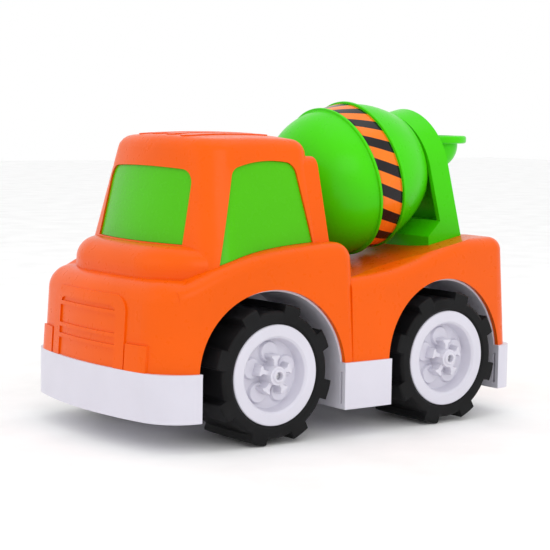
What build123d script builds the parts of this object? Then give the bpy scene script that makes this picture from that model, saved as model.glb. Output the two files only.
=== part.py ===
from build123d import *
import os
from math import cos, radians, sin, tan

# Toy cement mixer. Millimetres. +X is the front, +Y the left side, +Z up.
# The origin is on the ground, midway between the two axles.
os.makedirs("parts", exist_ok=True)

# ---- driving dimensions ----
wheelbase = 120.8
axle_x = wheelbase / 2
axle_z = 37.5
tyre_radius = 34.0
lug_radius = 37.85
lug_count = 8
lug_phase = 28
lug_width = 10.4
lug_chamfer = 0.8
tyre_outer_y = 76.3
tyre_width = 44.0
hub_face_y = 76.0
hub_radius = 27.0
rim_seat_radius = 25.2
rim_flange = 3.0
dish_depth = 8.0
boss_ring_radius = 5.4
boss_ring_rise = 2.2
boss_tip_radius = 3.6
boss_tip_rise = 3.4
petal_radius = 4.9
petal_centre = 12.4
petal_height = 2.0
dish_radius = 20.3
boss_radius = 5.5
hub_spacer_z = -46.8
washer_thickness = 0.5
axle_half_length = 77.0
lug_root = 29.5
axle_radius = 2.0
running_clearance = 0.06

front_x = 132.9
nose_corner_x = 122.9
rear_x = -118.0
nose_corner_radius = 29.0
tail_corner_radius = 14.0
band_nose_radius = 22.0
band_tail_radius = 9.0
half_width = 78.5
end_half_width = 70.3
end_station = 110.0
split_z = 41.0
band_bottom_z = 15.5
band_proud = 1.4
shell_wall = 2.6
side_draft = 3.2
shoulder_radius = 7.5
bonnet_top_z = 88.0
bonnet_radius = 13.0
arch_radius = 45.0
well_radius = 44.0
well_wall = 2.4
well_inner_y = 26.0

bed_tail_z = 103.9
dish_bar_radius = 320.0
dish_low_x = -81.0
dish_low_z = 96.0
dish_slope_degrees = 11.3
dish_slope = radians(dish_slope_degrees)

cab_rear_x = 16.2
cab_back_x = 19.2
cab_half_width = 66.5
cab_base_z = 95.0
cab_lean_in = 0.272
roof_z = 163.5
flange_top_z = 151.5
screen_front_x = 106.4
screen_lean_back = 0.21
screen_bow = 6.2
screen_bow_half = 44.0
cab_corner_radius = 20.0
roof_radius = 9.0
cab_back_radius = 10.0

roof_crown_radius = 450.0
flange_step = 0.5
cowl_front_x = 119.0
cowl_bow = 6.0
cowl_half_width = 63.0
cowl_corner_radius = 40.0
cowl_top_z = 104.7
cowl_radius = 12.0
screen_low_z = 105.2
screen_high_z = 144.2

rib_rows = (-21.0, -7.0, 7.0, 21.0)
rib_centre_x = 57.0
rib_length = 56.0
rib_width = 8.0
rib_height = 0.6
grille_top_z = 79.5
grille_half = 37.0
grille_inner_half = 29.0
grille_height = 0.9
louvre_rows = (52.0, 58.0, 70.0)
louvre_height = 2.2
lamp_inner_y = 38.5
lamp_outer_y = 53.8
lamp_height = 1.3

insert_wall = 1.8
pane_recess = 1.1
pane_gap = 0.15
pane_rim = 3.5

floor_top_z = 18.5
band_inner_inset = 1.2
lip_inset = 3.0
lip_wall = 1.6
liner_gap = 0.4
bearing_inner_y = 12.0
bearing_radius = 6.0
screw_radius = 1.45
screw_head_radius = 3.0
screw_head_height = 2.0
head_depth = 2.6
post_places = ((0.0, 48.0), (117.0, 30.0), (-106.0, 18.0))
post_radius = 4.0
pilot_radius = 1.5

drum_tilt = 13.1
drum_lip_radius = 44.5
drum_radius = 43.2
drum_band_length = 16.3
drum_front_x = -36.2
drum_front_z = 134.8
front_dome_length = 40.0
rear_cone_length = 30.2
rear_cone_radius = 31.4
shaft_radius = 3.0

band_thickness = 0.3
front_pin_reach = 9.0
rear_bush_radius = 6.5

arch_half_width = 35.4
arch_head_radius = 33.0
arch_head_drop = 2.8
arch_front_s = 47.7
arch_screw_x = -90.0
arch_screw_y = 22.0
arch_screw_z = 93.1
arch_depth = 13.9
arch_wall = 3.0
hopper_x = -114.0
hopper_rim_radius = 20.3
hopper_rim_z = 162.2
hopper_bowl_z = 156.4
hopper_bowl_radius = 15.0
hopper_rim_thickness = 4.6


# ---- helpers ----
tilt = radians(drum_tilt)
drum_frame = Pos(drum_front_x, 0, drum_front_z) * Rot(0, -(90 - drum_tilt), 0)
cone_start = drum_band_length
cone_end = drum_band_length + rear_cone_length


def prism_y(face, half):
    """Extrude an XZ outline to both sides of the centre plane."""
    return extrude(Plane.XZ.offset(-half) * face, amount=2 * half)


def prism_x(face, x_low, x_high):
    """Extrude a YZ outline from x_low to x_high."""
    return extrude(Plane.YZ.offset(x_low) * face, amount=x_high - x_low, dir=(1, 0, 0))


def prism_z(face, z_low, z_high):
    """Extrude an XY outline from z_low to z_high."""
    return extrude(Pos(0, 0, z_low) * face, amount=z_high - z_low, dir=(0, 0, 1))


def bar_y(radius, x, z, y_low, y_high):
    """A round bar along Y."""
    return Pos(x, (y_low + y_high) / 2, z) * Rot(90, 0, 0) * Cylinder(radius, y_high - y_low)


def block(x_low, x_high, y_low, y_high, z_low, z_high):
    centre = Pos((x_low + x_high) / 2, (y_low + y_high) / 2, (z_low + z_high) / 2)
    return centre * Box(x_high - x_low, y_high - y_low, z_high - z_low)


def mirrored(shape):
    """The same shape on the other side of the centre plane."""
    return mirror(shape, about=Plane.XZ)


def save(shape, node):
    export_step(shape, "parts/" + node + ".step")


# ---- lower body outlines ----
def plan_outline(inset, nose_radius=nose_corner_radius, tail_radius=tail_corner_radius):
    """Footprint of the body: bowed front, barrelled sides, rounded corners."""
    side_bow = (half_width - end_half_width) / end_station ** 2
    wide = half_width - inset
    nose_x = nose_corner_x - inset
    nose_y = wide - side_bow * nose_x ** 2
    tail_x = rear_x + 1.2 + inset
    tail_y = wide - side_bow * tail_x ** 2
    right = ThreePointArc((tail_x, -tail_y), (0, -wide), (nose_x, -nose_y))
    nose = ThreePointArc((nose_x, -nose_y), (front_x - inset, 0), (nose_x, nose_y))
    left = ThreePointArc((nose_x, nose_y), (0, wide), (tail_x, tail_y))
    tail = ThreePointArc((tail_x, tail_y), (rear_x + inset, 0), (tail_x, -tail_y))
    face = make_face([right, nose, left, tail])
    front_corners = face.vertices().sort_by(Axis.X)[2:]
    face = fillet(front_corners, nose_radius - inset)
    rear_corners = face.vertices().sort_by(Axis.X)[:2]
    return fillet(rear_corners, tail_radius - inset)


def band_outline(inset):
    """Footprint of the white skirt, squarer at its corners than the body."""
    return plan_outline(inset, band_nose_radius, band_tail_radius)


def shoulder_outline(inset):
    """Side view of the shoulders beside the cab."""
    def at(x, z):
        return (x, z - inset)

    def step(x, z):
        return (x + inset, z - inset)

    return make_face([
        Spline(at(114, 84), at(104, 88.5), at(89, 95), at(70, 100.7), at(44, 104.4), at(23, 105.8)),
        Line(at(23, 105.8), step(17.0, 105.8)),
        ThreePointArc(step(17.0, 105.8), step(10.1, 103.0), step(7.1, 96.4)),
        Polyline(step(7.1, 96.4), (4.5 + inset, 35), (114, 35), at(114, 84)),
    ])


def bed_outline(inset):
    """Side view of the bed's side rails: a long rise to a flat tail."""
    def at(x, z):
        return (x, z - inset)

    tail = bed_tail_z
    rise = [at(10, 86.6), at(-20, 89.4), at(-38, 93.2), at(-56, 98.6), at(-72, 102.6), at(-88, tail)]
    return make_face([
        Spline(*rise, tangents=[(-1, 0.05), (-1, 0)]),
        Polyline(at(-88, tail), (-130, tail - inset), (-130, 35), (10, 35), at(10, 86.6)),
    ])


def bed_dish(inset):
    """Round bar whose lower side hollows the bed between its rails."""
    radius = dish_bar_radius + inset
    axis_z = dish_low_z + dish_bar_radius * cos(dish_slope)
    axis_x = dish_low_x + dish_bar_radius * sin(dish_slope)
    turn = Rot(0, 90 + dish_slope_degrees, 0)
    return Pos(axis_x, 0, axis_z) * turn * Cylinder(radius, 400)


def tapered_sides(inset, height):
    return extrude(Pos(0, 0, split_z) * plan_outline(inset), amount=height, taper=side_draft)


def top_edges(shape, above):
    """Edges along the top that run round the sides, not those straight across."""
    return [e for e in shape.edges() if e.bounding_box().min.Z > above and e.bounding_box().size.Y < 125]


def bonnet(inset):
    slab = tapered_sides(inset, bonnet_top_z - inset - split_z) & block(8, 140, -90, 90, 0, 200)
    rim = [e for e in slab.faces().sort_by(Axis.Z)[-1].edges() if e.bounding_box().max.X > 9]
    return fillet(rim, bonnet_radius - inset)


def shoulders(inset):
    body = tapered_sides(inset, 75) & prism_y(shoulder_outline(inset), 90)
    return fillet(top_edges(body, 80), shoulder_radius - inset)


def bed(inset):
    body = tapered_sides(inset, 75) & prism_y(bed_outline(inset), 90)
    body = fillet(top_edges(body, 80), shoulder_radius - inset)
    return body - bed_dish(inset)


# ---- cab ----
def cab_section(z, inset):
    """Plan section of the greenhouse: bowed front, rounded pillars."""
    half = cab_half_width - cab_lean_in * (z - cab_base_z) - inset
    nose = screen_front_x - screen_lean_back * (z - cab_base_z) - inset
    pillar = nose - screen_bow * (half / screen_bow_half) ** 2
    back = cab_back_x + inset
    front = ThreePointArc((pillar, -half), (nose, 0), (pillar, half))
    face = make_face([front, Polyline((pillar, half), (back, half), (back, -half), (pillar, -half))])
    corners = face.vertices().sort_by(Axis.X)
    face = fillet(corners[2:], cab_corner_radius - inset)
    corners = face.vertices().sort_by(Axis.X)
    face = fillet(corners[:2], cab_back_radius - inset)
    return Pos(0, 0, z) * face


def greenhouse(inset):
    """Cab above the shoulders, crowned roof with a rounded rim."""
    walls = loft([cab_section(80, inset), cab_section(175, inset)], ruled=True)
    crown = Pos(55, 0, roof_z - inset - roof_crown_radius) * Sphere(roof_crown_radius)
    body = walls & crown
    roof = body.faces().sort_by(Axis.Z)[-1]
    return fillet(roof.edges(), roof_radius - inset)


def cowl(inset):
    """Bulge below the windscreen."""
    half = cowl_half_width - inset
    nose = cowl_front_x - inset
    corner = nose - cowl_bow
    front = ThreePointArc((corner, -half), (nose, 0), (corner, half))
    face = make_face([front, Polyline((corner, half), (50, half), (50, -half), (corner, -half))])
    face = fillet(face.vertices().sort_by(Axis.X)[2:], cowl_corner_radius - inset)
    body = prism_z(face, 70, cowl_top_z - inset)
    top = body.faces().sort_by(Axis.Z)[-1]
    rim = [e for e in top.edges() if e.bounding_box().max.X > 51]
    return fillet(rim, cowl_radius - inset)


def flange(inset):
    """Upright frame across the back of the cab."""
    def half_at(z):
        return cab_half_width - cab_lean_in * (z - cab_base_z) - flange_step - inset

    top = flange_top_z - inset
    face = make_face(Polyline((-half_at(84), 84), (half_at(84), 84), (half_at(top), top),
                              (-half_at(top), top), (-half_at(84), 84)))
    face = fillet(face.vertices().sort_by(Axis.Y)[1:3], 7)
    return prism_x(face, cab_rear_x + inset, cab_back_x + 8)


def shell_volume(inset):
    return bonnet(inset) + shoulders(inset) + bed(inset) + cowl(inset) + greenhouse(inset) + flange(inset)


def screen_opening(grow):
    """Windscreen outline, looking along X."""
    low = screen_low_z - grow
    high = screen_high_z + grow
    face = make_face([
        Line((-42.6 - grow, low), (42.6 + grow, low)),
        Line((42.6 + grow, low), (40.4 + grow, high)),
        ThreePointArc((40.4 + grow, high), (0, high + 1.4), (-40.4 - grow, high)),
        Line((-40.4 - grow, high), (-42.6 - grow, low)),
    ])
    upper = face.vertices().sort_by(Axis.Y)[2:]
    face = fillet(upper, 8.5 + grow)
    return prism_x(face, 75, 140)


def side_opening(grow):
    """Side window outline, looking along Y: upright front, arched top, sill on the shoulder."""
    sill = Spline(
        (27.5 - grow, 105.6 - grow), (44, 104.5 - grow), (70, 100.8 - grow), (88.6 + grow, 95.2 - grow),
    )
    face = make_face([
        sill,
        Line((88.6 + grow, 95.2 - grow), (73.6 + grow, 145.0 + grow)),
        ThreePointArc((73.6 + grow, 145.0 + grow), (53, 149.2 + grow), (32.4 - grow, 147.6 + grow)),
        Line((32.4 - grow, 147.6 + grow), (27.5 - grow, 105.6 - grow)),
    ])
    upper = face.vertices().sort_by(Axis.Y)[2:]
    face = fillet(upper, 7 + grow)
    return extrude(Plane.XZ.offset(-90) * face, amount=50)


def window_openings(grow):
    side = side_opening(grow)
    return screen_opening(grow) + side + mirrored(side)


def roof_ribs():
    skin = greenhouse(-rib_height)
    slot = SlotOverall(rib_length, rib_width)
    ribs = None
    for y in rib_rows:
        rib = skin & prism_z(Pos(rib_centre_x, y) * slot, roof_z - 8, roof_z + 8)
        ribs = rib if ribs is None else ribs + rib
    return ribs


def grille():
    """Raised frame, louvres and lamp bosses on the bonnet front."""
    outer = Pos(0, grille_top_z - 26) * RectangleRounded(2 * grille_half, 52, 9)
    inner = Pos(0, grille_top_z - 32) * RectangleRounded(2 * grille_inner_half, 52, 5)
    pattern = outer - inner
    for z in louvre_rows:
        pattern = pattern + Pos(0, z) * Rectangle(2 * grille_inner_half + 2, louvre_height)
    frame = bonnet(-grille_height) & prism_x(pattern, 100, 140)
    lamp = Pos((lamp_inner_y + lamp_outer_y) / 2, 48) * Rectangle(lamp_outer_y - lamp_inner_y, 14)
    lamps = bonnet(-lamp_height) & prism_x(lamp + mirror(lamp, about=Plane.YZ), 100, 140)
    return frame + lamps


def shell_posts(inset):
    """Posts that take the chassis screws."""
    posts = None
    for x, y in post_places:
        for side in (1, -1):
            post = Pos(x, side * y, 70) * Cylinder(post_radius, 2 * (70 - floor_top_z))
            posts = post if posts is None else posts + post
    return posts & (bonnet(inset) + bed(inset))


def make_body_shell():
    body = shell_volume(0) + roof_ribs() + grille()
    cavity = shell_volume(shell_wall) + prism_z(plan_outline(shell_wall), 20, split_z + 0.5)
    body = body - cavity - window_openings(0)
    for x in (axle_x, -axle_x):
        body = body - bar_y(arch_radius, x, axle_z, -100, 100)
    body = body + shell_posts(1.0)
    for x, y in post_places:
        for side in (1, -1):
            body = body - Pos(x, side * y, floor_top_z + 8) * Cylinder(pilot_radius, 17)
    for side in (1, -1):
        body = body - Pos(arch_screw_x, side * arch_screw_y, 94) * Cylinder(screw_radius + 0.2, 20)
    return body


def make_window_insert():
    """One moulding: three panes on a skin that lines the cab, joined by a belt."""
    hollow = greenhouse(shell_wall + insert_wall)
    panes = (greenhouse(pane_recess) - hollow) & window_openings(-pane_gap)
    lining = greenhouse(shell_wall + 0.1) - hollow
    rims = lining & window_openings(pane_rim)
    belt = lining & block(cab_back_x + 12, 120, -90, 90, 118, 132)
    return panes + rims + belt


# ---- chassis ----
def well_outline(radius):
    """Side view of a wheel well: round top on upright walls."""
    return Pos(0, axle_z) * Circle(radius) + Pos(0, axle_z / 2 - 10) * Rectangle(2 * radius, axle_z + 20)


def well_prism(radius, x, y_low, y_high):
    return Pos(x, 0, 0) * extrude(Plane.XZ.offset(-y_high) * well_outline(radius), amount=y_high - y_low)


def make_chassis():
    outer = prism_z(band_outline(-band_proud), band_bottom_z, split_z)
    tray = outer - prism_z(band_outline(band_inner_inset), floor_top_z, split_z + 5)
    ring = band_outline(band_inner_inset - 0.2) - plan_outline(lip_inset + lip_wall)
    lip = prism_z(ring, split_z - 5, split_z)
    lip = lip + prism_z(plan_outline(lip_inset) - plan_outline(lip_inset + lip_wall), split_z, split_z + 4)
    tray = tray + lip
    room = prism_z(plan_outline(lip_inset), band_bottom_z, split_z + 1)
    room = room + shell_volume(shell_wall + liner_gap)
    for x in (axle_x, -axle_x):
        for side in (1, -1):
            low, high = sorted((side * well_inner_y, side * 90))
            liner = well_prism(well_radius + well_wall, x, low, high) & room
            tray = tray + liner
            low, high = sorted((side * (well_inner_y + well_wall), side * 100))
            tray = tray - well_prism(well_radius, x, low, high)
            low, high = sorted((side * bearing_inner_y, side * (well_inner_y + well_wall)))
            tray = tray + bar_y(bearing_radius, x, axle_z, low, high)
            tray = tray + block(x - 2, x + 2, min(low, high), max(low, high), floor_top_z - 1, axle_z)
        tray = tray - bar_y(axle_radius + running_clearance, x, axle_z, -40, 40)
    for x, y in post_places:
        for side in (1, -1):
            tray = tray - Pos(x, side * y, 0) * Cylinder(screw_radius + 0.2, 60)
            recess = Cylinder(screw_head_radius + 0.2, 2 * head_depth)
            tray = tray - Pos(x, side * y, band_bottom_z) * recess
    return tray


def make_screw(length, head_height):
    """Pan-head self-tapping screw, head down at z = 0, with a cross slot."""
    shank = Pos(0, 0, head_height + length / 2) * Cylinder(screw_radius, length)
    head = Pos(0, 0, head_height / 2) * Cylinder(screw_head_radius, head_height)
    slot = Pos(0, 0, 0.3) * (Box(3.4, 0.8, 0.9) + Box(0.8, 3.4, 0.9))
    return shank + head - slot


def make_body_screws():
    screws = []
    for x, y in post_places:
        for side in (1, -1):
            lift = band_bottom_z + head_depth - screw_head_height
            screws.append(Pos(x, side * y, lift) * make_screw(12, screw_head_height))
    return Compound(children=screws)


# ---- wheels, built with the axle along Z and the outer face at z = 0 ----
def wheel_profile(points):
    return revolve(Plane.XZ * make_face(Polyline(*points, points[0])), Axis.Z)


def lug_block():
    """One tread lug: a bar across the tread that wraps on to both shoulders."""
    face = hub_face_y - tyre_outer_y
    inner = face + tyre_width
    edge = lug_radius - lug_chamfer
    bar = make_face(Polyline(
        (lug_root, -face), (edge, -face), (lug_radius, -face - lug_chamfer),
        (lug_radius, -inner + lug_chamfer), (edge, -inner), (lug_root, -inner), (lug_root, -face),
    ))
    return extrude(Plane.XZ.offset(-lug_width / 2) * bar, amount=lug_width)


def make_tyre():
    face = tyre_outer_y - hub_face_y
    back = face - tyre_width
    carcass = wheel_profile([
        (rim_seat_radius, back), (tyre_radius - 4, back), (tyre_radius, back + 5),
        (tyre_radius, face - 1.6), (tyre_radius - 1.4, face), (hub_radius + 0.3, face),
        (hub_radius + 0.3, -rim_flange), (rim_seat_radius, -rim_flange),
    ])
    tyre = carcass
    envelope = Pos(0, 0, (face + back) / 2) * Cylinder(lug_radius, tyre_width + 4)
    for i in range(lug_count):
        tyre = tyre + (Rot(0, 0, 360 / lug_count * i + lug_phase) * lug_block() & envelope)
    return tyre


def standing(radius, height, x):
    """A round pillar standing on the floor of the hub's dish."""
    return Pos(x, 0, height / 2 - dish_depth) * Cylinder(radius, height)


def make_hub():
    back = tyre_outer_y - hub_face_y - tyre_width
    rim = wheel_profile([
        (hub_radius - 0.8, 0), (hub_radius, -0.8), (hub_radius, -rim_flange), (rim_seat_radius, -rim_flange),
        (rim_seat_radius, back + 1), (rim_seat_radius - 2.4, back + 1),
        (rim_seat_radius - 2.4, -dish_depth - 3),
        (boss_radius, -dish_depth - 3), (boss_radius, hub_spacer_z), (0, hub_spacer_z),
        (0, -dish_depth), (dish_radius - 1.8, -dish_depth),
        (dish_radius - 0.4, -1.6), (dish_radius + 0.7, 0),
    ])
    arm = make_face(Polyline(
        (0, -3.4), (8.6, -1.7), (9.6, -3.3), (10.8, -2.6), (10.8, 2.6),
        (9.6, 3.3), (8.6, 1.7), (0, 3.4), (0, -3.4),
    ))
    hub = rim
    for i in range(5):
        turn = Rot(0, 0, 72 * i - 90)
        hub = hub + turn * standing(petal_radius, petal_height, petal_centre)
        hub = hub + turn * extrude(Pos(0, 0, -dish_depth) * arm, amount=dish_depth)
    hub = hub + standing(boss_ring_radius, dish_depth + boss_ring_rise, 0)
    hub = hub + standing(boss_tip_radius, dish_depth + boss_tip_rise, 0)
    return hub - Pos(0, 0, -25) * Cylinder(axle_radius, 60)


def make_washer():
    ring = Cylinder(4.5, washer_thickness) - Cylinder(axle_radius + 0.1, 2)
    return Pos(0, 0, hub_spacer_z - washer_thickness / 2) * ring


def place_wheel(shape, x, side):
    left = Pos(x, hub_face_y, axle_z) * Rot(-90, 0, 0) * shape
    return left if side > 0 else mirrored(left)


def make_axle(x):
    return bar_y(axle_radius, x, axle_z, -axle_half_length, axle_half_length)


# ---- drum, built along Z from the front lip, z rising to the back ----


def dome_half(radius, length):
    curve = EllipticalCenterArc((0, 0), radius, length, start_angle=270, arc_size=90)
    return make_face([curve, Polyline((radius, 0), (0, 0), (0, -length))])


def tube(outer, inner, low, high):
    return Pos(0, 0, (low + high) / 2) * (Cylinder(outer, high - low) - Cylinder(inner, high - low))


def make_drum_front_shell():
    skin = dome_half(drum_radius - 0.3, front_dome_length)
    skin = skin - dome_half(drum_radius - 2.6, front_dome_length - 2.3)
    dome = revolve(Plane.XZ * skin, Axis.Z)
    nose = Pos(0, 0, -front_dome_length + 2.5) * Cylinder(7, 6)
    shell = dome + nose + tube(drum_lip_radius, drum_radius - 2.6, -1.6, 0)
    shell = shell + tube(drum_radius, drum_radius - 2.6, -0.5, drum_band_length / 2)
    return drum_frame * (shell - Cylinder(shaft_radius, 200))


def cone_half(inset):
    """Half section of the rear of the drum: bulged taper to a flat end."""
    start = drum_radius - 0.6 - inset
    end = rear_cone_radius - inset
    middle = (start + end) / 2 + 2.0
    low = cone_start
    high = cone_end - inset
    curve = ThreePointArc((start, low), (middle, (low + high) / 2), (end, high))
    return make_face([curve, Polyline((end, high), (0, high), (0, low), (start, low))])


def make_drum_rear_shell():
    skin = revolve(Plane.XZ * (cone_half(0) - cone_half(2.4)), Axis.Z)
    shell = skin + tube(drum_lip_radius, drum_radius - 2.6, cone_start, cone_start + 1.6)
    shell = shell + tube(drum_radius, drum_radius - 2.6, drum_band_length / 2, cone_start + 0.5)
    shell = shell + Pos(0, 0, cone_end - 3) * Cylinder(7, 6)
    return drum_frame * (shell - Cylinder(shaft_radius, 200))


def make_drum_band():
    return drum_frame * tube(drum_radius + band_thickness, drum_radius, 0, cone_start)


def make_drum_shaft():
    low = -front_dome_length - front_pin_reach
    high = arch_front_s + arch_depth - 1.0
    return drum_frame * Pos(0, 0, (low + high) / 2) * Cylinder(shaft_radius, high - low)


def make_drum_front_bush():
    """Socket on the back wall of the cab."""
    low = -front_dome_length - front_pin_reach - 3
    high = -front_dome_length - 1.2
    barrel = drum_frame * Pos(0, 0, (low - 6 + high) / 2) * Cylinder(8, high - low + 6)
    wall_z = drum_front_z - (cab_rear_x - drum_front_x) * tan(tilt)
    plate = prism_x(Pos(0, wall_z) * RectangleRounded(30, 24, 4), cab_rear_x - 2.2, cab_rear_x)
    bush = (barrel + plate) & block(-50, cab_rear_x, -40, 40, 80, 160)
    bore_high = high + 5
    bore = Cylinder(shaft_radius + running_clearance, bore_high - low - 2)
    bore = Pos(0, 0, (low + 2 + bore_high) / 2) * bore
    return bush - drum_frame * bore


def make_drum_rear_bush():
    low = arch_front_s + 1.0
    ring = tube(rear_bush_radius, shaft_radius + running_clearance, low, arch_front_s + arch_depth)
    high = arch_front_s + arch_depth - arch_wall
    collar = tube(rear_bush_radius + 2.5, shaft_radius + running_clearance, low, high)
    return drum_frame * (ring + collar)


# ---- rear arch and hopper ----
def arch_outline(inset):
    """Arch across the truck, drawn square to the drum axis: local x is Y, local y is upwards."""
    head = arch_head_radius - inset
    foot = arch_half_width - inset
    drop = -arch_head_drop
    shoulder = Polyline((foot, drop - 55), (head, drop))
    return make_face([
        shoulder,
        ThreePointArc((head, drop), (0, drop + head), (-head, drop)),
        Polyline((-head, drop), (-foot, drop - 55), (foot, drop - 55)),
    ])


def arch_prism(inset, low, high):
    turned = Rot(0, 0, -90) * arch_outline(inset)
    return drum_frame * extrude(Pos(0, 0, low) * turned, amount=high - low)


def arch_toe():
    """Ramped foot in front of the arch."""
    ramp = make_face(Polyline((-110, 90), (-81.2, 90), (-81.2, 103.0), (-90.6, 112.2), (-98, 112.2),
                              (-104, 104), (-110, 104), (-110, 90)))
    reach = arch_prism(0, arch_front_s - 14, arch_front_s + arch_depth)
    return prism_y(ramp, arch_half_width + 0.2) & reach


def bed_solid_below():
    """Everything under the bed's upper surface, to trim the arch's foot to it."""
    return block(-125, 15, -60, 60, 60, bed_tail_z) - bed_dish(0)


def make_rear_arch():
    back = arch_front_s + arch_depth
    arch = arch_prism(0, arch_front_s, back) - arch_prism(arch_wall, arch_front_s - 1, back - arch_wall)
    arch = arch + arch_toe()
    arch = arch - bed_solid_below()
    for y in (1, -1):
        arch = arch - Pos(arch_screw_x, y * arch_screw_y, 100) * Cylinder(pilot_radius, 15)
    return arch - drum_frame * Pos(0, 0, back) * Cylinder(rear_bush_radius, 30)


def make_arch_screws():
    screws = []
    for y in (1, -1):
        screws.append(Pos(arch_screw_x, y * arch_screw_y, arch_screw_z) * make_screw(8, screw_head_height))
    return Compound(children=screws)


def make_hopper():
    rim_low = hopper_rim_z - hopper_rim_thickness
    rim = Pos(hopper_x, 0, (rim_low + hopper_rim_z) / 2) * Cylinder(hopper_rim_radius, hopper_rim_thickness)
    rim = fillet(rim.edges(), 1.4)
    bowl = Pos(hopper_x, 0, hopper_bowl_z) * Sphere(hopper_bowl_radius)
    bowl = bowl & block(-150, -50, -40, 40, 100, hopper_bowl_z)
    bowl = bowl + Pos(hopper_x, 0, hopper_bowl_z + 1) * Cylinder(hopper_bowl_radius, 2.5)
    back = arch_front_s + arch_depth
    neck = drum_frame * Pos(0, 0, back + 9) * Cylinder(10.5, 18)
    hopper = rim + bowl + neck
    hopper = hopper - arch_prism(-5, back - 40, back)
    inside = Pos(hopper_x, 0, hopper_bowl_z) * Sphere(hopper_bowl_radius - 2.4)
    inside = inside & block(-150, -50, -40, 40, 100, hopper_bowl_z)
    mouth = Pos(hopper_x, 0, hopper_bowl_z + 6) * Cylinder(hopper_bowl_radius - 2.4, 12)
    return hopper - inside - mouth


save(make_body_shell(), "body_shell")
save(make_window_insert(), "window_insert")
save(make_chassis(), "chassis")
save(make_body_screws(), "body_screws")
save(make_rear_arch(), "rear_arch")
save(make_arch_screws(), "arch_screws")
save(make_hopper(), "hopper")
save(make_drum_front_bush(), "drum_front_bush")
save(make_drum_rear_bush(), "drum_rear_bush")
save(make_drum_front_shell(), "drum_front_shell")
save(make_drum_rear_shell(), "drum_rear_shell")
save(make_drum_band(), "drum_band")
save(make_drum_shaft(), "drum_shaft")

for end, x in (("front", axle_x), ("rear", -axle_x)):
    save(make_axle(x), "axle_" + end)
    for name, side in (("left", 1), ("right", -1)):
        save(place_wheel(make_tyre(), x, side), "tyre_" + end + "_" + name)
        save(place_wheel(make_hub(), x, side), "hub_" + end + "_" + name)
        save(place_wheel(make_washer(), x, side), "washer_" + end + "_" + name)
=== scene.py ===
from math import cos, pi, radians, sin, sqrt
import bmesh
import bpy
from mathutils import Matrix, Vector


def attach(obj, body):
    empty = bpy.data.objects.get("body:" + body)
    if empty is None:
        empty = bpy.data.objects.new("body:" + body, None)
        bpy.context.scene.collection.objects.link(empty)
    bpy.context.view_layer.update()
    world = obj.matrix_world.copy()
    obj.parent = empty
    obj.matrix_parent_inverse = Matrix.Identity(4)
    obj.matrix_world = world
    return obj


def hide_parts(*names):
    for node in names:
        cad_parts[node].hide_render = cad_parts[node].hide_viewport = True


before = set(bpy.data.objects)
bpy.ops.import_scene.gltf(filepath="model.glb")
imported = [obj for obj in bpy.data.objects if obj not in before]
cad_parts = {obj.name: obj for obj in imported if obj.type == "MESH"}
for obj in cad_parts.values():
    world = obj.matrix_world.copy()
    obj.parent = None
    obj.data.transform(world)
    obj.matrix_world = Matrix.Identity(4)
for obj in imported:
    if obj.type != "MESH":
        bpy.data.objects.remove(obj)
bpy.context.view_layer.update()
MM = 0.001

# ---- places, in metres ----
CAMERA_PLACE = Vector((0.577627, 0.772934, 0.177032))
CAMERA_YAW = radians(36.4974)
CAMERA_PITCH = radians(5.686)
CAMERA_ROLL = radians(0.8492)
LENS = 109.18
FLOOR_HALF = 4.0
AXLE_X = 60.4 * MM
AXLE_Z = 37.5 * MM
HUB_FACE_Y = 76 * MM
DRUM_TILT = radians(13.1)
DRUM_ORIGIN = Vector((-36.2 * MM, 0, 134.8 * MM))
DRUM_TURN = Matrix.Translation(DRUM_ORIGIN) @ Matrix.Rotation(-(pi / 2 - DRUM_TILT), 4, "Y")

# ---- colours ----
ORANGE = (0.85, 0.108, 0.0005)
GREEN = (0.06, 0.66, 0.001)
WINDOW_GREEN = (0.075, 0.5, 0.001)
WHITE = (0.68, 0.665, 0.745)
BLACK = (0.005, 0.005, 0.0055)
STEEL = (0.58, 0.58, 0.6)
STRIPE_ORANGE = ((0.86, 0.17, 0.008), (0.98, 0.23, 0.012))
STRIPE_BLACK = ((0.006, 0.005, 0.006), (0.018, 0.014, 0.016))

# ---- wheels: millimetres and degrees, from the hub's face ----
LUG_COUNT = 8
LUG_PHASE = 28
LUG_HALF_ANGLE = 7.9
LUG_FLANK_ANGLE = 1.3
LUG_R = 37.85
TYRE_FACE = 0.3
TYRE_BACK = -43.7
SEAT_R = 25.2
HUB_R = 27
HUB_BACK = -42.7
HUB_WALL_R = 22.6
DISH_DEPTH = 8.0
DISH_FLOOR_R = 18.5
BORE_R = 2.05
HUB_STEPS = 240
HUB_RING_GAP = 0.33
ARM_COUNT = 5
PETAL_CENTRE = 11.8
PETAL_R = 5.9
PETAL_HEIGHT = 2.0
ARM_REACH = 10.5
BOSS_RING_R = 5.0
BOSS_RING_RISE = 2.2
BOSS_TIP_R = 3.3
BOSS_TIP_RISE = 3.4

# ---- drum: millimetres along its axis from the front lip, and degrees ----
LIP_R = 44.5
WALL_R = 43.15
DOME_R = 42.9
DOME_LENGTH = 40
SHELL_INNER_R = 40.6
SHAFT_HOLE_R = 3.05
CONE_START = 18.1
CONE_LENGTH = 28.2
CONE_START_R = 42.6
CONE_END_R = 31.4
CONE_BULGE = 2.0
SHELL_JOINT = 8.1
LATHE_STEPS = 160
FILM_STEPS = 180
FILM_IN_R = 43.18
FILM_OUT_R = 43.42
FILM_START = 0.5
FILM_WIDTH = 15.3
STRIPE_PITCH = 20.0
STRIPE_SLANT = 12.0
STRIPE_START = 16.5


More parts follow.
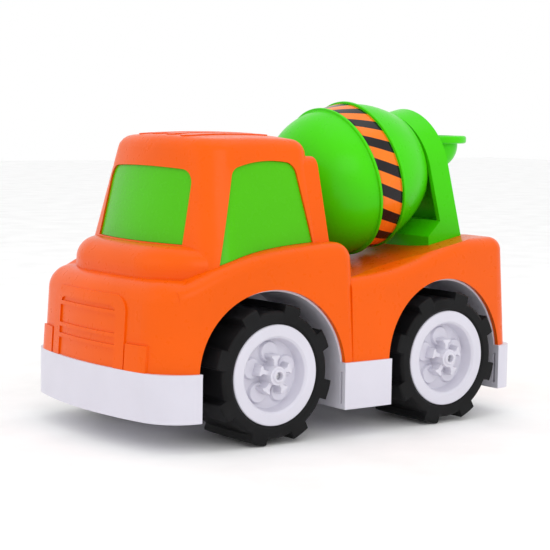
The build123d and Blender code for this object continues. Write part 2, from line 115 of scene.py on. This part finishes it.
# ---- camera, light and floor ----
def add_camera():
    """The photograph's viewpoint: front left of the truck, a little above the bonnet."""
    level = cos(CAMERA_PITCH)
    ahead = Vector((-sin(CAMERA_YAW) * level, -cos(CAMERA_YAW) * level, -sin(CAMERA_PITCH)))
    right = ahead.cross(Vector((0, 0, 1))).normalized()
    up = right.cross(ahead)
    tilted_right = cos(CAMERA_ROLL) * right + sin(CAMERA_ROLL) * up
    tilted_up = cos(CAMERA_ROLL) * up - sin(CAMERA_ROLL) * right
    data = bpy.data.cameras.new("camera")
    data.sensor_width = 36
    data.lens = LENS
    data.clip_end = 20
    camera = bpy.data.objects.new("camera", data)
    turn = Matrix((tilted_right, tilted_up, -ahead)).transposed().to_4x4()
    camera.matrix_world = Matrix.Translation(CAMERA_PLACE) @ turn
    bpy.context.collection.objects.link(camera)
    bpy.context.scene.camera = camera


def add_area(name, place, target, size, power):
    data = bpy.data.lights.new(name, "AREA")
    data.shape = "RECTANGLE"
    data.size, data.size_y = size
    data.energy = power
    lamp = bpy.data.objects.new(name, data)
    aim = (Vector(target) - Vector(place)).to_track_quat("-Z", "Y")
    lamp.matrix_world = Matrix.Translation(Vector(place)) @ aim.to_matrix().to_4x4()
    bpy.context.collection.objects.link(lamp)


def add_light():
    """Three large soft boxes and a white room."""
    world = bpy.data.worlds.new("studio")
    world.use_nodes = True
    back = world.node_tree.nodes["Background"]
    back.inputs["Color"].default_value = (1, 1, 1, 1)
    back.inputs["Strength"].default_value = 1.0
    bpy.context.scene.world = world
    add_area("key", (0.35, 1.1, 0.75), (0, 0, 0.08), (0.8, 0.6), 2.4)
    add_area("fill", (1.2, -0.2, 0.7), (0, 0, 0.08), (0.7, 0.7), 0.6)
    add_area("top", (-0.1, 0.1, 1.2), (0, 0, 0.05), (0.9, 0.9), 1.6)
    bpy.context.scene.view_settings.view_transform = "Standard"


def add_floor():
    data = bpy.data.meshes.new("floor")
    half = FLOOR_HALF
    corners = [(-half, -half, 0), (half, -half, 0), (half, half, 0), (-half, half, 0)]
    data.from_pydata(corners, [], [(0, 1, 2, 3)])
    floor = bpy.data.objects.new("floor", data)
    bpy.context.collection.objects.link(floor)
    data.materials.append(plastic("floor_paper", (0.96, 0.96, 0.96), rough=0.6, coat=0.0, grain=0.2))


# ---- materials ----
def start_material(name):
    material = bpy.data.materials.new(name)
    material.use_nodes = True
    tree = material.node_tree
    return material, tree, tree.nodes["Principled BSDF"]


def noise_node(tree, scale, detail=3.0, stretch=(1, 1, 1)):
    where = tree.nodes.new("ShaderNodeTexCoord")
    shape = tree.nodes.new("ShaderNodeMapping")
    shape.inputs["Scale"].default_value = stretch
    noise = tree.nodes.new("ShaderNodeTexNoise")
    noise.inputs["Scale"].default_value = scale
    noise.inputs["Detail"].default_value = detail
    tree.links.new(where.outputs["Object"], shape.inputs["Vector"])
    tree.links.new(shape.outputs["Vector"], noise.inputs["Vector"])
    return noise


def spread(tree, source, low, high, start=0.3, end=0.7):
    """Maps a 0-1 signal to the range low-high."""
    node = tree.nodes.new("ShaderNodeMapRange")
    node.inputs["From Min"].default_value = start
    node.inputs["From Max"].default_value = end
    node.inputs["To Min"].default_value = low
    node.inputs["To Max"].default_value = high
    tree.links.new(source, node.inputs["Value"])
    return node.outputs["Result"]


def tint(tree, factor, low, high):
    node = tree.nodes.new("ShaderNodeMix")
    node.data_type = "RGBA"
    node.inputs["A"].default_value = (*low, 1)
    node.inputs["B"].default_value = (*high, 1)
    tree.links.new(factor, node.inputs["Factor"])
    return node.outputs["Result"]


def scaled(colour, factor):
    return tuple(min(1.0, c * factor) for c in colour)


def plastic(name, colour, rough=0.3, coat=0.05, grain=1.0):
    """Moulded plastic: faintly cloudy pigment, fine surface grain, handling wear and a satin skin."""
    material, tree, shader = start_material(name)
    cloud = noise_node(tree, 22, 4)
    mix = spread(tree, cloud.outputs["Fac"], 0, 1)
    colour_out = tint(tree, mix, scaled(colour, 0.955), scaled(colour, 1.03))
    tree.links.new(colour_out, shader.inputs["Base Color"])
    grain_noise = noise_node(tree, 2600, 2)
    handling = noise_node(tree, 240, 5)
    worn = spread(tree, handling.outputs["Fac"], rough - 0.03, rough + 0.06, 0.35, 0.75)
    tree.links.new(worn, shader.inputs["Roughness"])
    bump = tree.nodes.new("ShaderNodeBump")
    bump.inputs["Strength"].default_value = 0.05 * grain
    bump.inputs["Distance"].default_value = 0.0002
    tree.links.new(grain_noise.outputs["Fac"], bump.inputs["Height"])
    wave = noise_node(tree, 34, 1)
    ripple = tree.nodes.new("ShaderNodeBump")
    ripple.inputs["Strength"].default_value = 0.06 * grain
    ripple.inputs["Distance"].default_value = 0.001
    tree.links.new(wave.outputs["Fac"], ripple.inputs["Height"])
    tree.links.new(bump.outputs["Normal"], ripple.inputs["Normal"])
    tree.links.new(ripple.outputs["Normal"], shader.inputs["Normal"])
    shader.inputs["Specular IOR Level"].default_value = 0.13
    shader.inputs["Coat Weight"].default_value = coat
    shader.inputs["Coat Roughness"].default_value = 0.16
    return material


def rubber():
    """Moulded tyre rubber: near black, dusty bloom in patches, fine pitted grain."""
    material, tree, shader = start_material("tyre_rubber")
    bloom = noise_node(tree, 60, 5)
    shade = tint(tree, spread(tree, bloom.outputs["Fac"], 0, 1), scaled(BLACK, 0.7), scaled(BLACK, 1.8))
    tree.links.new(shade, shader.inputs["Base Color"])
    tree.links.new(spread(tree, bloom.outputs["Fac"], 0.4, 0.56), shader.inputs["Roughness"])
    pits = noise_node(tree, 1900, 3)
    bump = tree.nodes.new("ShaderNodeBump")
    bump.inputs["Strength"].default_value = 0.16
    bump.inputs["Distance"].default_value = 0.0003
    tree.links.new(pits.outputs["Fac"], bump.inputs["Height"])
    tree.links.new(bump.outputs["Normal"], shader.inputs["Normal"])
    shader.inputs["Specular IOR Level"].default_value = 0.14
    return material


def drawn_steel():
    """Zinc-bright wire: lengthwise draw marks."""
    material, tree, shader = start_material("drawn_steel")
    draw = noise_node(tree, 900, 4, stretch=(1, 0.03, 1))
    shade = tint(tree, spread(tree, draw.outputs["Fac"], 0, 1), scaled(STEEL, 0.85), scaled(STEEL, 1.1))
    tree.links.new(shade, shader.inputs["Base Color"])
    tree.links.new(spread(tree, draw.outputs["Fac"], 0.2, 0.4), shader.inputs["Roughness"])
    shader.inputs["Metallic"].default_value = 1.0
    return material


def math_node(tree, operation, first, second=0.0, third=0.0):
    node = tree.nodes.new("ShaderNodeMath")
    node.operation = operation
    for socket, value in zip(node.inputs, (first, second, third)):
        if isinstance(value, (int, float)):
            socket.default_value = value
        else:
            tree.links.new(value, socket)
    return node.outputs[0]


def striped_film():
    """Printed film round the drum: slanting orange and black bars, run by the piece's own UV map."""
    material, tree, shader = start_material("striped_film")
    layout = tree.nodes.new("ShaderNodeUVMap")
    layout.uv_map = "wrap"
    split = tree.nodes.new("ShaderNodeSeparateXYZ")
    tree.links.new(layout.outputs["UV"], split.inputs["Vector"])
    lean = STRIPE_SLANT / STRIPE_PITCH
    slant = math_node(tree, "MULTIPLY_ADD", split.outputs["Y"], lean, -STRIPE_START / STRIPE_PITCH)
    turns = math_node(tree, "MULTIPLY_ADD", split.outputs["X"], 360 / STRIPE_PITCH, slant)
    phase = math_node(tree, "FRACT", math_node(tree, "ADD", turns, 0.5))
    away = math_node(tree, "ABSOLUTE", math_node(tree, "SUBTRACT", phase, 0.5))
    speckle = noise_node(tree, 700, 2)
    edge = math_node(tree, "MULTIPLY_ADD", speckle.outputs["Fac"], 0.012, away)
    bar = spread(tree, edge, 1, 0, 0.239, 0.255)
    ink = noise_node(tree, 90, 4)
    paper = tint(tree, ink.outputs["Fac"], *STRIPE_ORANGE)
    dark = tint(tree, ink.outputs["Fac"], *STRIPE_BLACK)
    print_mix = tree.nodes.new("ShaderNodeMix")
    print_mix.data_type = "RGBA"
    tree.links.new(bar, print_mix.inputs["Factor"])
    tree.links.new(paper, print_mix.inputs["A"])
    tree.links.new(dark, print_mix.inputs["B"])
    tree.links.new(print_mix.outputs["Result"], shader.inputs["Base Color"])
    tree.links.new(spread(tree, ink.outputs["Fac"], 0.2, 0.32), shader.inputs["Roughness"])
    ripple = tree.nodes.new("ShaderNodeBump")
    ripple.inputs["Strength"].default_value = 0.1
    ripple.inputs["Distance"].default_value = 0.0004
    tree.links.new(noise_node(tree, 60, 2).outputs["Fac"], ripple.inputs["Height"])
    tree.links.new(ripple.outputs["Normal"], shader.inputs["Normal"])
    shader.inputs["Specular IOR Level"].default_value = 0.2
    shader.inputs["Coat Weight"].default_value = 0.12
    shader.inputs["Coat Roughness"].default_value = 0.1
    return material


# ---- mesh helpers; lengths in these are millimetres until the mesh is made ----
def rounded(corners, steps=5):
    """Rounds a closed or open outline's corners. Each corner is (a, b, radius); ends stay sharp."""
    path = []
    for i, (a, b, radius) in enumerate(corners):
        here = Vector((a, b))
        if radius == 0 or i in (0, len(corners) - 1):
            path.append(here)
            continue
        before = Vector(corners[i - 1][:2]) - here
        after = Vector(corners[i + 1][:2]) - here
        half = before.angle(after) / 2
        reach = min(radius / max(0.05, sin(half) / cos(half)), 0.48 * before.length, 0.48 * after.length)
        start = here + before.normalized() * reach
        end = here + after.normalized() * reach
        for k in range(steps + 1):
            t = k / steps
            path.append((1 - t) ** 2 * start + 2 * t * (1 - t) * here + t ** 2 * end)
    return path


def smooth(t):
    t = min(1.0, max(0.0, t))
    return t * t * (3 - 2 * t)


def skin(name, rings, closed_rings, place, wrap=None):
    """A surface through rings of points, each ring closed on itself."""
    count = len(rings[0])
    points = [place @ (Vector(p) * MM) for ring in rings for p in ring]
    faces = []
    last = len(rings) if closed_rings else len(rings) - 1
    for i in range(last):
        a = i * count
        b = (i + 1) % len(rings) * count
        for j in range(count):
            k = (j + 1) % count
            faces.append((a + j, a + k, b + k, b + j))
    data = bpy.data.meshes.new(name)
    data.from_pydata(points, [], faces)
    data.polygons.foreach_set("use_smooth", [True] * len(faces))
    if wrap:
        layer = data.uv_layers.new(name="wrap")
        for polygon in data.polygons:
            row, column = divmod(polygon.index, count)
            square = ((column, row), (column + 1, row), (column + 1, row + 1), (column, row + 1))
            for corner, (u, v) in zip(polygon.loop_indices, square):
                layer.data[corner].uv = (u / count, wrap[v])
    piece = bpy.data.objects.new(name, data)
    bpy.context.collection.objects.link(piece)
    return piece


def tidy_normals(piece):
    mesh = bmesh.new()
    mesh.from_mesh(piece.data)
    bmesh.ops.remove_doubles(mesh, verts=mesh.verts, dist=1e-7)
    bmesh.ops.recalc_face_normals(mesh, faces=mesh.faces)
    mesh.to_mesh(piece.data)
    mesh.free()


def sharpen(piece, angle=35):
    """Keeps edges above the angle crisp and the rest smooth."""
    mesh = bmesh.new()
    mesh.from_mesh(piece.data)
    for edge in mesh.edges:
        edge.smooth = len(edge.link_faces) < 2 or edge.calc_face_angle(0) < radians(angle)
    mesh.to_mesh(piece.data)
    mesh.free()


def lathe(name, path, place):
    """Turns a closed (r, z) path about Z."""
    turns = [2 * pi * j / LATHE_STEPS for j in range(LATHE_STEPS)]
    rings = [[(r * cos(turn), r * sin(turn), z) for turn in turns] for r, z in path]
    piece = skin(name, rings, True, place)
    tidy_normals(piece)
    return piece


def polar(r, angle, z):
    return (r * cos(radians(angle)), r * sin(radians(angle)), z)


def finish_piece(piece, material, body, slot, *nodes):
    piece.data.materials.append(material)
    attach(piece, body)
    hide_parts(*nodes)
    return piece


# ---- wheels: Z is the axle, pointing outwards, with 0 at the hub's face ----
def wheel_place(x, side):
    """Local +Z to the outside, local +Y to the ground, mirrored on the right."""
    turn = Matrix(((1, 0, 0, 0), (0, 0, side, 0), (0, -1, 0, 0), (0, 0, 0, 1)))
    return Matrix.Translation(Vector((x, side * HUB_FACE_Y, AXLE_Z))) @ turn


def lug_share(angle):
    """1 on a lug, 0 between lugs, with sloped flanks."""
    pitch = 360 / LUG_COUNT
    away = abs((angle - LUG_PHASE + pitch / 2) % pitch - pitch / 2)
    return 1 - smooth((away - LUG_HALF_ANGLE) / LUG_FLANK_ANGLE)


def lug_angles():
    """Angles round the tyre, packed closer on the lugs' flanks."""
    pitch = 360 / LUG_COUNT
    offsets = [-8, -6, -3, 0, 3, 6, 8]
    flank = [LUG_HALF_ANGLE + LUG_FLANK_ANGLE * k / 6 for k in range(7)]
    plain = [13, 15.5, 18, 20.5]
    offsets = sorted(set(offsets + flank + [-f for f in flank] + plain + [-a for a in plain]))
    return [LUG_PHASE + pitch * i + offset for i in range(LUG_COUNT) for offset in offsets]


def make_tyre(name, x, side):
    """Carcass and lugs in one skin: each ring blends the plain section with the section through a lug."""
    edge = (SEAT_R, TYRE_BACK + 0.5, 0)
    seat = [
        (28.4, TYRE_FACE, 0.5), (27.6, -0.5, 0.3), (27.15, -0.6, 0.3), (27.1, -3, 0.2),
        (25.3, -3, 0.2), edge]
    plain = rounded([
        edge, (32.6, -43.6, 1.5), (34.0, -42.2, 1.5), (34.25, -22, 60), (34.0, -1.2, 1.5),
        (32.7, TYRE_FACE, 1.5)] + seat)
    lugged = rounded([
        edge, (36.9, TYRE_BACK, 0.6), (37.8, -42.8, 0.8), (LUG_R, -22, 60), (37.8, -0.6, 0.8),
        (36.9, TYRE_FACE, 0.6)] + seat)
    rings = []
    angles = lug_angles()
    for flat, raised in zip(plain[:-1], lugged[:-1]):
        ring = []
        for angle in angles:
            share = lug_share(angle)
            r, z = flat.lerp(raised, share)
            ring.append(polar(r, angle, z))
        rings.append(ring)
    piece = skin(name, rings, True, wheel_place(x, side))
    tidy_normals(piece)
    return piece


def bump_up(distance, half, edge=0.5):
    """1 within half of zero, falling to 0 over edge."""
    return 1 - smooth((abs(distance) - half + edge) / edge)


def hub_height(r, angle):
    """Moulded relief of the hub's dish: five petals, a five-armed star and a ringed boss."""
    height = 0.0
    for i in range(ARM_COUNT):
        turn = radians(angle - 360 / ARM_COUNT * i + 90)
        along = r * cos(turn)
        across = r * sin(turn)
        if along < 0:
            continue
        petal = bump_up(sqrt((along - PETAL_CENTRE) ** 2 + across ** 2), PETAL_R, 0.7)
        height = max(height, PETAL_HEIGHT * petal)
        waist = 1.6 + 1.7 * smooth((along - 7.6) / 2.4) + 1.8 * smooth((5.2 - along) / 3)
        arm = bump_up(across, waist, 0.45) * (1 - smooth((along - ARM_REACH) / 0.5))
        height = max(height, (DISH_DEPTH - 0.15) * arm)
    height = max(height, (DISH_DEPTH + BOSS_RING_RISE) * (1 - smooth((r - BOSS_RING_R) / 0.5)))
    height = max(height, (DISH_DEPTH + BOSS_TIP_RISE) * (1 - smooth((r - BOSS_TIP_R) / 0.45)))
    return height


def make_hub(name, x, side):
    rim = rounded([
        (25.15, HUB_BACK, 0), (25.15, -3, 0.2), (26.95, -2.95, 0.3), (HUB_R, 0, 0.9), (20.9, 0, 0.7),
        (19.7, -1.1, 0.7), (DISH_FLOOR_R, -DISH_DEPTH + 0.05, 0.9), (17.4, -DISH_DEPTH, 0)])
    bore = [
        (2.2, 3.2), (2.1, 3.0), (BORE_R, 2.4), (BORE_R, -13), (HUB_WALL_R, -13), (HUB_WALL_R, HUB_BACK)]
    angles = [360 * j / HUB_STEPS for j in range(HUB_STEPS)]
    rings = [[polar(p[0], a, p[1]) for a in angles] for p in rim]
    r = 17.2
    while r > 2.3:
        rings.append([polar(r, a, -DISH_DEPTH + hub_height(r, a)) for a in angles])
        r -= HUB_RING_GAP
    for r, z in bore:
        rings.append([polar(r, a, z) for a in angles])
    piece = skin(name, rings, True, wheel_place(x, side))
    tidy_normals(piece)
    sharpen(piece, 50)
    return piece


# ---- drum: Z is its axis, pointing back, with 0 at the front lip ----
def dome_path():
    """Half ellipse from the pole to the front lip."""
    path = []
    for k in range(41):
        t = pi / 2 * k / 40
        path.append(Vector((max(SHAFT_HOLE_R, DOME_R * sin(t)), -DOME_LENGTH * cos(t))))
    return path


def make_drum_front():
    outside = dome_path()[:-2] + rounded([
        (DOME_R, -2.6, 0), (43.1, -1.7, 0.6), (LIP_R, -1.6, 0.5), (LIP_R, 0, 0.5), (WALL_R, 0.05, 0.2),
        (WALL_R, SHELL_JOINT, 0)])
    inside = [Vector((SHELL_INNER_R, SHELL_JOINT)), Vector((SHELL_INNER_R, -2))]
    for k in range(1, 13):
        t = pi / 2 * k / 12
        inside.append(Vector((max(SHAFT_HOLE_R, 40.4 * cos(t)), -37.6 * sin(t))))
    piece = lathe("drum_front", outside + inside, DRUM_TURN)
    sharpen(piece, 60)
    return piece


def make_drum_rear():
    cone = []
    for k in range(25):
        t = k / 24
        bulge = 4 * t * (1 - t) * CONE_BULGE
        r = CONE_START_R + (CONE_END_R - CONE_START_R) * t + bulge
        cone.append(Vector((r, CONE_START + CONE_LENGTH * t)))
    outside = rounded([
        (WALL_R, 8.2, 0), (WALL_R, 16.25, 0.2), (LIP_R, 16.3, 0.5), (LIP_R, 17.9, 0.5), (43.0, 18.0, 0.4),
        (42.7, CONE_START, 0)])
    outside += cone + rounded([(CONE_END_R, 46.35, 0), (31.0, 46.5, 0.3), (3.1, 46.5, 0)])
    inside = [Vector((3.1, 44)), Vector((29, 44)), Vector((40.4, 18)), Vector((SHELL_INNER_R, 8.2))]
    piece = lathe("drum_rear", outside + inside, DRUM_TURN)
    sharpen(piece, 60)
    return piece


def make_band():
    """The printed film, a thin ring with its pattern laid out round the drum."""
    path = [(FILM_IN_R, FILM_START)]
    path += [(FILM_OUT_R, FILM_START + FILM_WIDTH * k / 8) for k in range(9)]
    path += [(FILM_IN_R, FILM_START + FILM_WIDTH)]
    wrap = [(z - FILM_START) / FILM_WIDTH for r, z in path]
    rings = []
    for r, z in path:
        ring = []
        for j in range(FILM_STEPS):
            angle = 2 * pi * j / FILM_STEPS
            ring.append((r * sin(angle), r * cos(angle), z))
        rings.append(ring)
    piece = skin("drum_film", rings, False, DRUM_TURN, wrap)
    tidy_normals(piece)
    return piece


def paint(node, material):
    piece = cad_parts[node]
    piece.data.materials.clear()
    piece.data.materials.append(material)
    return piece


add_camera()
add_light()
add_floor()

orange = plastic("orange_plastic", ORANGE)
green = plastic("green_plastic", GREEN)
window = plastic("window_plastic", WINDOW_GREEN, rough=0.25)
white = plastic("white_plastic", WHITE, rough=0.34, coat=0.05)
black = rubber()
steel = drawn_steel()
film = striped_film()
painted = {
    "body_shell": orange, "drum_front_bush": orange, "window_insert": window, "chassis": white,
    "drum_rear_bush": white, "rear_arch": green, "hopper": green,
}
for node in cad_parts:
    paint(node, painted.get(node, steel))

finish_piece(make_drum_front(), green, "drum", "green_drum", "drum_front_shell")
finish_piece(make_drum_rear(), green, "drum", "green_drum", "drum_rear_shell")
finish_piece(make_band(), film, "drum", "stripe_decal", "drum_band")
for end, x in (("front", AXLE_X), ("rear", -AXLE_X)):
    for name, side in (("left", 1), ("right", -1)):
        where = end + "_" + name
        tyre = make_tyre("rubber_tyre_" + where, x, side)
        finish_piece(tyre, black, end + "_wheels", "black_tyre", "tyre_" + where)
        hub = make_hub("wheel_hub_" + where, x, side)
        finish_piece(hub, white, end + "_wheels", "white_hub", "hub_" + where)
